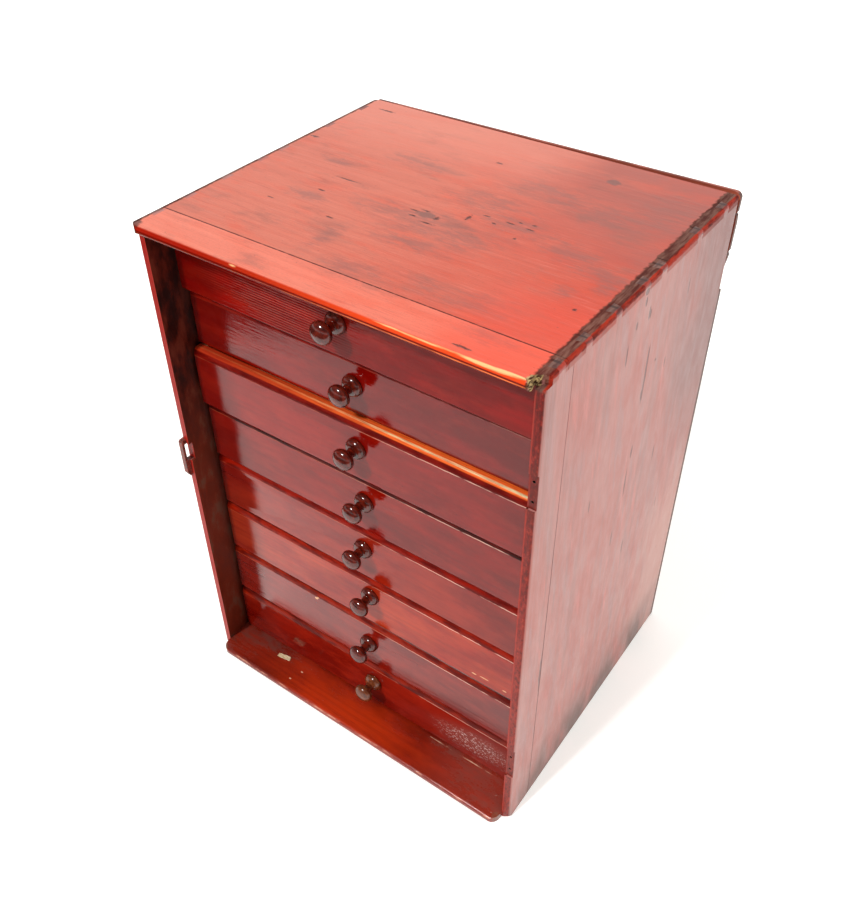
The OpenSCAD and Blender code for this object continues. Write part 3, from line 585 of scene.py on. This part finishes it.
# Each front: its darker and its lighter colour, how blotchy it is, how bright the painted line of light
# along the foot of its upper arris is, and how much coat lies on it
FRONT_LOOKS = (
    ((0.21, 0.001, 0.0003), (0.34, 0.003, 0.001), 0.35, 0.0, 0.14),
    ((0.17, 0.001, 0.0003), (0.27, 0.003, 0.001), 0.25, 0.15, 0.58),
    ((0.22, 0.002, 0.0005), (0.32, 0.006, 0.002), 0.35, 0.75, 0.52),
    ((0.18, 0.002, 0.0005), (0.29, 0.005, 0.001), 0.30, 0.80, 0.52),
    ((0.24, 0.004, 0.001), (0.38, 0.020, 0.005), 0.50, 0.95, 0.60),
    ((0.29, 0.006, 0.002), (0.49, 0.038, 0.008), 0.65, 0.95, 0.60),
    ((0.20, 0.004, 0.001), (0.31, 0.012, 0.004), 0.35, 0.95, 0.79),
    ((0.16, 0.002, 0.0005), (0.29, 0.010, 0.003), 0.50, 0.60, 0.46),
)
# The darker and the lighter colour of a front's upper arris, darkened as painted shade, and of those that
# differ from the rest
ARRIS_RED = ((0.11, 0.002, 0.001), (0.22, 0.006, 0.002))
ARRIS_LOOKS = {
    4: ((0.030, 0.001, 0.0005), (0.10, 0.003, 0.001)),
    5: ((0.11, 0.002, 0.0005), (0.28, 0.007, 0.001)),
    6: ((0.13, 0.003, 0.0005), (0.32, 0.012, 0.002)),
    7: ((0.11, 0.003, 0.0005), (0.30, 0.014, 0.002)),
    8: ((0.10, 0.003, 0.0005), (0.26, 0.012, 0.002)),
}
# Small chips down to the wood: (x, z) and their half sizes
CHIPS = {
    6: (((118.8, 139.1), (2.4, 0.8)), ((129.2, 140.1), (4.6, 0.7)), ((149.8, 138.0), (1.8, 0.7))),
    7: (((-62.6, 119.8), (1.7, 1.3)), ((-60.5, 121.6), (1.2, 0.8))),
}
# Height of the arris, and how far apart the planing ribs of the ribbed front are
ARRIS_H = 7.5
RIB_PITCH = 2.3
# The drawers whose fronts look unlike the others
RIBBED = 1
PAINTED_HIGHLIGHT_ARRIS = 3
EVEN_TONED = (6, 8)
FROM_GAP_SHADE = 5
DUSTY = 8


def front_ground(s, pine, cloud, number, seed):
    """Deep red, blotchy varnish of a front's face, with painted shade to the right and at its left end."""
    dark, light, blotchy = FRONT_LOOKS[number - 1][:3]
    colour = s.blend(s.step(cloud, 0.32, 0.68), dark, light)
    colour = s.blend(s.times(pine.rings, 0.20), colour, (0.13, 0.003, 0.001))
    blotch = s.step(s.noise(15, (3.4, 1, 1), seed + 5, detail=6.0, rough=0.65), 0.46, 0.72, 0, blotchy)
    colour = s.blend(blotch, colour, (0.46, 0.024, 0.007))
    if number not in EVEN_TONED:
        # Painted shadow, deepening to the right
        shade = s.step(s.plus(s.x, s.z, 0.5 if number == RIBBED else 0.0), -60, 200, 0, 0.45)
        shade = s.times(shade, s.step(cloud, 0.65, 0.40, 0.4, 1.0))
        colour = s.blend(shade, colour, (0.11, 0.004, 0.003))
    colour = s.blend(s.step(pine.fibre, 0.55, 0.72, 0, 0.40), colour, (0.12, 0.004, 0.002))
    # Painted shade at the left end, beside the side
    return s.blend(s.step(s.x, -118, -140, 0, 0.42), colour, (0.07, 0.001, 0.0003))


def painted_arris_highlight(s, colour, low, high, seed):
    """A painted highlight along an arris, broken into strands and brightest along its middle and to the
    right.
    """
    painted_light = s.step(s.z, high.z - 2.5, high.z - 1.5)
    fibrous = s.step(s.noise(1.2, (16, 1, 1), seed + 10, detail=3.0), 0.25, 0.60, 0.55, 1.0)
    highlight_tone = s.blend(s.step(s.x, -150, 90), (0.42, 0.032, 0.008), (1.0, 0.160, 0.026))
    highlight_core = s.times(s.band(s.y, low.y + 4.9, 1.35, 0.3), s.step(s.x, -150, 60, 0.12, 1.0))
    strands = s.noise(0.9, (22, 1, 1), seed + 11, detail=4.0, rough=0.7)
    highlight_core = s.times(highlight_core, s.step(strands, 0.32, 0.58, 0.25, 1.0))
    highlight_core_tone = s.blend(s.step(s.x, -80, 120), (1.0, 0.42, 0.14), (1.0, 0.86, 0.46))
    return s.blend(s.times(painted_light, fibrous), colour, s.blend(highlight_core, highlight_tone, highlight_core_tone))


def front_arris(s, colour, edge, broken, number, low, high, seed):
    """The rounded upper arris of a front, darkened as painted shade, with a painted line of light along its
    foot.
    """
    under = s.plus(s.math("SUBTRACT", high.z - ARRIS_H, s.z), s.centred(edge), 0.8)
    arris = s.step(under, 0.4, -0.4)
    tone = s.blend(s.step(broken, 0.35, 0.65), *ARRIS_LOOKS.get(number, ARRIS_RED))
    if number >= FROM_GAP_SHADE:
        gap_shade = s.step(s.plus(s.z, edge, 1.2), high.z - 0.9, high.z + 0.3, 0, 0.85)
        tone = s.blend(gap_shade, tone, (0.018, 0.001, 0.0005))
    colour = s.blend(arris, colour, tone)
    # A painted highlight along the arris of this one front
    if number == PAINTED_HIGHLIGHT_ARRIS:
        colour = painted_arris_highlight(s, colour, low, high, seed)
    # A painted line of light along the foot of the arris, brighter to the right
    line = s.times(s.band(under, 0, 0.60, 0.15), s.step(broken, 0.36, 0.54))
    line = s.times(line, s.step(s.x, -80, 140, 0.25, 1.0))
    painted_line_tone = s.blend(s.step(s.x, -60, 110), (0.85, 0.19, 0.075), (1.0, 0.60, 0.46))
    painted_line_strength = FRONT_LOOKS[number - 1][3]
    return s.blend(s.times(line, painted_line_strength), colour, painted_line_tone), arris


def front_marks(s, colour, cloud, broken, number, low, seed):
    """Chips, painted shade along the foot, flecks, and the dust on the lowest front."""
    chips = [s.spot((x, low.y, z), (a, 8, b), broken, 0.5) for (x, z), (a, b) in CHIPS.get(number, ())]
    if chips:
        colour = s.blend(s.either(chips), colour, (0.86, 0.42, 0.20))
    # Painted shade along the foot of the front
    colour = s.blend(s.step(s.z, low.z + 1.6, low.z + 0.6, 0, 0.65), colour, (0.10, 0.003, 0.002))
    flecks = s.step(s.noise(1.8, (1.6, 1, 1), seed + 12, detail=1.0), 0.76, 0.79, 0, 0.6)
    colour = s.blend(flecks, colour, (0.06, 0.004, 0.003))
    if number == DUSTY:
        haze = s.spot((128, low.y, 36), (48, 30, 20), cloud, 0.9, 0.7)
        colour = s.blend(s.times(haze, 0.5), colour, (0.26, 0.105, 0.090))
        grains = s.step(s.noise(1.4, (1.7, 1, 1), seed + 13, detail=3.0, rough=0.7), 0.54, 0.64)
        grains = s.times(grains, s.spot((122, low.y, 33), (42, 30, 15), cloud, 0.9, 0.6))
        colour = s.blend(s.times(grains, 0.8), colour, (0.88, 0.66, 0.60))
    return colour


def front_material(name, number, low, high):
    """Deep red varnish of a drawer front, glossy on its face and dull on its rounded upper arris."""
    s = Shader(name)
    seed = 20.0 + number
    pine = Pine(s, "x", seed, (40, 120, low.z + 20), ring_w=4.5)
    edge = s.noise(4, (2, 1, 1), seed + 1, detail=3.0)
    cloud = s.noise(30, (2.6, 1, 1), seed + 3, detail=5.0, rough=0.6)
    broken = s.noise(5, (4, 1, 1), seed + 7, detail=3.0)
    colour = front_ground(s, pine, cloud, number, seed)
    colour, arris = front_arris(s, colour, edge, broken, number, low, high, seed)
    colour = front_marks(s, colour, cloud, broken, number, low, seed)
    wavy = s.noise(2.6, (9, 1, 1), seed + 9, detail=2.0)
    relief = s.plus(wavy, pine.fibre, 0.50)
    coat = s.step(arris, 0, 1, FRONT_LOOKS[number - 1][4], 0.0)
    if number == RIBBED:
        ribs = s.math("SINE", s.plus(s.times(s.z, 2 * math.pi / RIB_PITCH), wavy, 1.6))
        where = s.spot((-62, low.y, low.z + 34), (54, 60, 34), cloud, 0.8, 0.7)
        shown = s.times(where, s.step(broken, 0.30, 0.55, 0.3, 1.0))
        crest = s.times(s.step(ribs, 0.1, 0.9), shown)
        colour = s.blend(s.times(crest, 0.55), colour, (0.48, 0.070, 0.045))
        groove = s.times(s.step(ribs, -0.1, -0.9), where)
        colour = s.blend(s.times(groove, 0.6), colour, (0.07, 0.002, 0.001))
        relief = s.plus(relief, s.times(ribs, where), 0.35)
        coat = s.times(coat, s.step(where, 0, 1, 1.0, 0.3))
    if number >= FROM_GAP_SHADE:
        coat = s.times(coat, s.step(s.x, -120, 150, 1.10, 0.76))
    roughness = s.step(arris, 0, 1, 0.07, 0.27)
    normal = s.bump(relief, 0.11)
    return s.finish(colour, roughness, normal, coat=coat, coat_roughness=0.06, ior=1.36, specular=0.2)


def knob_material(name, seed, deep, warm):
    """Turned knob under dark glossy varnish."""
    s = Shader(name)
    turned = s.noise(5, (1, 0.35, 1), seed, detail=4.0)
    colour = s.blend(s.step(turned, 0.3, 0.75), deep, warm)
    fine = s.noise(3, (1, 0.3, 1), seed + 2, detail=2.0)
    roughness = s.step(fine, 0.3, 0.8, 0.2, 0.3)
    s.surface.inputs["Coat IOR"].default_value = 1.62
    return s.finish(colour, roughness, s.bump(fine, 0.004), coat=1.0, coat_roughness=0.17, specular=0.0)


def bare_material(name, grain, seed):
    """Bare pine of the drawer boxes and runners."""
    s = Shader(name)
    pine = Pine(s, grain, seed, (90, 70, 40), ring_w=4.5)
    colour = s.blend(s.step(pine.tone, 0.3, 0.7), (0.50, 0.33, 0.18), (0.66, 0.46, 0.27))
    colour = s.blend(s.times(pine.rings, 0.5), colour, (0.42, 0.23, 0.105))
    colour = s.blend(s.step(pine.fibre, 0.55, 0.8, 0, 0.4), colour, (0.30, 0.18, 0.09))
    relief = s.plus(pine.fibre, pine.rings, 0.4)
    return s.finish(colour, 0.62, s.bump(relief, 0.15))


def iron_material(name, seed):
    """Iron painted over with the varnish, lighter in patches."""
    s = Shader(name)
    rust = s.noise(3, seed=seed, detail=5.0, rough=0.65)
    colour = s.blend(s.step(rust, 0.35, 0.7), (0.085, 0.016, 0.010), (0.38, 0.060, 0.035))
    roughness = s.step(rust, 0.3, 0.7, 0.30, 0.55)
    return s.finish(colour, roughness, s.bump(rust, 0.15), coat=0.2, coat_roughness=0.3)


# Widths in millimetres of the softly broken arrises, and how close corners are welded, in metres
ARRIS_W = 0.35
BOX_ARRIS_W = 0.25
SLIVER_ARRIS_W = 0.15
WELD_M = 1e-6


def weld(piece):
    piece.modifiers.new("weld", "WELD").merge_threshold = WELD_M


def dress(node, material, arris_w=ARRIS_W):
    """Gives a CAD node its material and softly broken arrises."""
    piece = frame["nodes"][node]
    piece.data.materials.clear()
    piece.data.materials.append(material)
    if arris_w:
        weld(piece)
        soft = piece.modifiers.new("arris", "BEVEL")
        soft.width = arris_w / MM
        soft.segments = 2
        soft.limit_method = "ANGLE"
        soft.angle_limit = math.radians(40)
        soft.harden_normals = True
    return piece


def dress_knob(node, material):
    """Gives a knob its material and shades it as one flowing surface."""
    knob = dress(node, material, arris_w=0)
    weld(knob)
    flow = knob.modifiers.new("flow", "WEIGHTED_NORMAL")
    flow.keep_sharp = False
    flow.weight = 50


def dress_case():
    dress("top_panel", top_material("varnish_top_panel", 1.0, BLOOM_SHEEN_LEFT, BLOOM_SHEEN_RIGHT))
    dress("top_strip", top_material("varnish_top_strip", 2.0, STRIP_LEFT, STRIP_RIGHT))
    for k, node in enumerate(("left_side_panel", "left_side_strip", "right_side_panel", "right_side_strip")):
        dress(node, side_material("varnish_" + node, 3.0 + k))
    dress("base_board", base_material("varnish_base", 8.0))
    dress("back_boards", back_material("varnish_back", 9.0))
    dress("left_runners", bare_material("pine_left_runners", "y", 10.0))
    dress("right_runners", bare_material("pine_right_runners", "y", 11.0))
    dress("door_keeper", iron_material("painted_keeper", 12.0))
    dress("case_nails", iron_material("painted_nails", 13.0), arris_w=0)


def dress_drawers():
    grains = {"left_side": "y", "right_side": "y", "back": "x", "bottom": "x"}
    for i in range(1, DRAWERS + 1):
        name = f"drawer_{i}_"
        low, high = box_mm(name + "front")
        dress(name + "front", front_material("varnish_" + name + "front", i, low, high))
        deep, warm = LAST_KNOB_TONES if i == DRAWERS else KNOB_TONES
        dress_knob(name + "knob", knob_material("varnish_" + name + "knob", 40.0 + i, deep, warm))
        for k, (part, grain) in enumerate(grains.items()):
            pine = bare_material("pine_" + name + part, grain, 60.0 + 5 * i + k)
            dress(name + part, pine, BOX_ARRIS_W)


# A sliver of bare wood lies loose on the ledge: its middle, half sizes, turn in degrees,
# number of lengths and height above the ledge
SLIVER_AT = (-108, -132)
SLIVER_HALF = (8.0, 2.3, 0.7)
SLIVER_TURN = 8
SLIVER_STEPS = 9
SLIVER_CLEAR = 0.02


def sliver_mesh():
    """A split chip with wavy long sides and uneven ends."""
    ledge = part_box("base_board")[1].z * MM
    half_l, half_w, half_t = SLIVER_HALF
    mesh = bmesh.new()
    rows = []
    for k in range(SLIVER_STEPS + 1):
        u = 2 * k / SLIVER_STEPS - 1
        w = half_w * (1 - 0.08 * abs(u) ** 3 + 0.06 * math.sin(9 * u))
        lift = half_t * (1 + 0.25 * math.sin(2.3 * u + 0.6))
        lean = 0.12 * math.sin(4 * u)
        corners = ((-w + lean, 0), (w + lean, 0), (w * 0.86 + lean, 2 * lift), (-w * 0.9 + lean, 1.7 * lift))
        end = 1.2 * math.sin(5 * lean) if k in (0, SLIVER_STEPS) else 0
        rows.append([mesh.verts.new((u * half_l + end * c, y, z)) for c, (y, z) in enumerate(corners)])
    for first, second in zip(rows, rows[1:]):
        for c in range(4):
            mesh.faces.new((first[c], first[(c + 1) % 4], second[(c + 1) % 4], second[c]))
    mesh.faces.new(reversed(rows[0]))
    mesh.faces.new(rows[-1])
    bmesh.ops.recalc_face_normals(mesh, faces=mesh.faces)
    turn = Matrix.Rotation(math.radians(SLIVER_TURN), 4, "Z")
    place = Matrix.Translation((*SLIVER_AT, ledge + SLIVER_CLEAR)) @ turn
    bmesh.ops.transform(mesh, matrix=Matrix.Scale(1 / MM, 4) @ place, verts=mesh.verts)
    data = bpy.data.meshes.new("sliver")
    mesh.to_mesh(data)
    mesh.free()
    return data


def add_sliver():
    data = sliver_mesh()
    sliver = bpy.data.objects.new("loose_sliver", data)
    scene.collection.objects.link(sliver)
    s = Shader("sliver_wood")
    fibre = s.noise(0.8, (12, 1, 1), 71.0, detail=4.0)
    colour = s.blend(s.step(fibre, 0.3, 0.7), (0.50, 0.36, 0.17), (0.86, 0.72, 0.48))
    data.materials.append(s.finish(colour, 0.6, s.bump(fibre, 0.1)))
    sliver.modifiers.new("arris", "BEVEL").width = SLIVER_ARRIS_W / MM
    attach(sliver, "case")


# Studio, in metres: the floor's reach, and how much it glows where it is seen directly or mirrored
FLOOR_HALF = 30.0
FLOOR_GLOW = 0.38
# The dark room left of the pale paper and in front of it, as seen from above, and how high it lies
DARK_FLOOR = (
    (-1.28, 0.42), (-0.50, -0.65), (-0.44, -0.735), (30, -0.735), (30, -30), (-30, -30), (-30, 0.42),
)
DARK_FLOOR_Z = 0.0015
# Lamps: where each stands as seen from the chest, its strength and its spread in degrees
CEILING_LAMP = ((0.25, 0.20, 1), 1.30, 110)
KEY_LAMP = ((-0.15, -0.68, 0.72), 2.2, 5)


def flat_sheet(name, corners, height, material):
    mesh = bpy.data.meshes.new(name)
    mesh.from_pydata([(x, y, height) for x, y in corners], [], [tuple(range(len(corners)))])
    mesh.materials.append(material)
    sheet = bpy.data.objects.new(name, mesh)
    scene.collection.objects.link(sheet)
    return sheet


def floor_material():
    """White paper. It glows a little where it is seen, so that it reads as white and keeps its shadows."""
    s = Shader("pale_floor")
    grain = s.noise(6, detail=4.0)
    s.finish(s.blend(grain, (0.91, 0.905, 0.875), (0.93, 0.925, 0.895)), 0.9, specular=0.0)
    rays = s.node("ShaderNodeLightPath").outputs
    seen = s.either([rays["Is Camera Ray"], rays["Is Glossy Ray"], rays["Is Transmission Ray"]])
    s.feed(s.surface.inputs["Emission Color"], (1.0, 1.0, 0.96))
    s.feed(s.surface.inputs["Emission Strength"], s.times(seen, FLOOR_GLOW))
    return s.material


def add_floor():
    h = FLOOR_HALF
    flat_sheet("floor", [(-h, -h), (h, -h), (h, h), (-h, h)], 0, floor_material())
    s = Shader("black_card")
    s.finish(s.blend(s.noise(9), (0.010, 0.010, 0.010), (0.016, 0.016, 0.016)), 1.0)
    card = flat_sheet("card", DARK_FLOOR, DARK_FLOOR_Z, s.material)
    card.visible_camera = False
    card.visible_diffuse = False
    card.visible_shadow = False


def add_lamp(name, towards, strength, spread, glossy=True):
    """A lamp far away, in the direction given as seen from the chest."""
    data = bpy.data.lights.new(name, "SUN")
    data.energy = strength
    data.angle = math.radians(spread)
    lamp = bpy.data.objects.new(name, data)
    lamp.rotation_euler = Vector(towards).to_track_quat("Z", "Y").to_euler()
    lamp.visible_glossy = glossy
    scene.collection.objects.link(lamp)


def add_world():
    """A dim room in front of the chest, brighter overhead and behind it, before a white backdrop."""
    world = bpy.data.worlds.new("studio")
    scene.world = world
    world.use_nodes = True
    room = Nodes(world.node_tree)
    coords = room.node("ShaderNodeTexCoord")
    _, back, up = room.node("ShaderNodeSeparateXYZ", coords.outputs["Generated"]).outputs
    rays = room.node("ShaderNodeLightPath").outputs

    def whiten(base, share):
        mix = room.node("ShaderNodeMix", share)
        room.feed(mix.inputs[2], base)
        room.feed(mix.inputs[3], 1.0)
        return mix.outputs[0]

    low = room.step(up, 0.10, 0.22, 1.0, 0.0)
    level = room.step(back, -0.5, 0.5, 0.10, 0.60)
    level = whiten(level, room.times(low, room.step(back, -0.5, 0.1, 0.15, 1.0)))
    level = whiten(level, room.times(low, room.either([rays["Is Glossy Ray"], rays["Is Transmission Ray"]])))
    level = whiten(level, rays["Is Camera Ray"])
    background = room.tree.nodes["Background"]
    room.feed(background.inputs["Strength"], level)
    room.feed(background.inputs["Color"], (1, 1, 1))


def add_studio():
    add_floor()
    add_world()
    add_lamp("soft_ceiling", *CEILING_LAMP, glossy=False)
    add_lamp("key", *KEY_LAMP)


add_camera()
dress_case()
dress_drawers()
add_sliver()
add_studio()
scene.view_settings.view_transform = "Standard"
